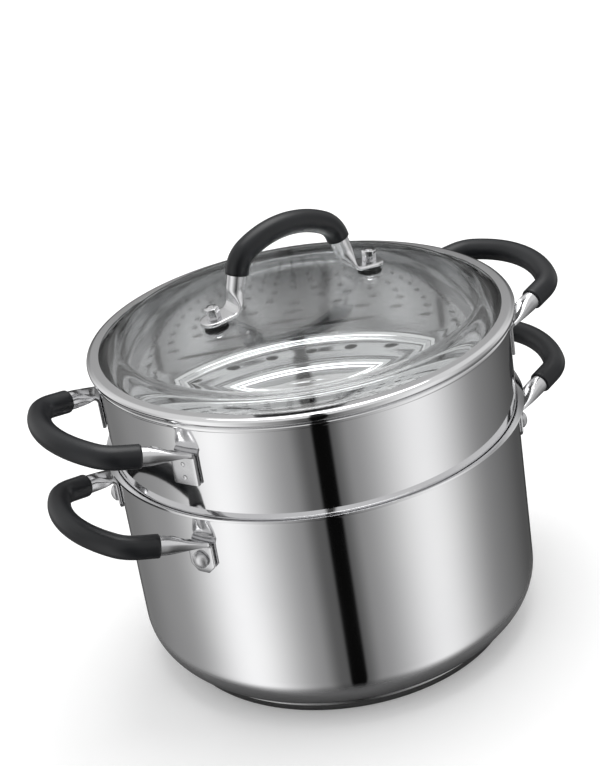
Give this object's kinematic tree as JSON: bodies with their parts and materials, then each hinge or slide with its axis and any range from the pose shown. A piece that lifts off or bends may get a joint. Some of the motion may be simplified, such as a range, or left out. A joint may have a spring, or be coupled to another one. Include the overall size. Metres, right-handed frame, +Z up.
{
  "type": "stockpot",
  "caption": "Steel stockpot with a perforated steamer insert stacked in its mouth, a domed glass lid in a steel band, and bent tube handles with dark moulded grips.",
  "frame": {"origin": "on the pot's axis at the underside of its base disc, where the pot stands", "axes": "+Z up along the pot's axis, X through the two side handles, Y across them"},
  "size_m": [0.339, 0.251, 0.2675],
  "materials": {
    "polished_steel": "mirror polished outside, satin inside",
    "base_steel": "satin with fine turned lines",
    "handle_steel": "fine satin",
    "fastener_steel": "turned and satin",
    "grip_silicone": "matte charcoal",
    "gasket_rubber": "matte black",
    "lid_glass": "clear toughened glass with a faint grey tint"
  },
  "bodies": {
    "root": {"pot_body": "polished_steel", "base_disc": "base_steel", "pot_handle_left": "handle_steel", "pot_handle_right": "handle_steel", "pot_grip_left": "grip_silicone", "pot_grip_right": "grip_silicone", "pot_rivets_left": "handle_steel", "pot_rivets_right": "handle_steel", "steamer_body": "polished_steel", "steamer_handle_left": "handle_steel", "steamer_handle_right": "handle_steel", "steamer_grip_left": "grip_silicone", "steamer_grip_right": "grip_silicone", "lid_glass": "lid_glass", "lid_band": "polished_steel", "lid_handle": "handle_steel", "lid_grip": "grip_silicone", "lid_nuts": "fastener_steel", "lid_bolts": "fastener_steel", "lid_gaskets_upper": "gasket_rubber", "lid_gaskets_lower": "gasket_rubber", "lid_washers": "fastener_steel"}
  },
  "joints": []
}
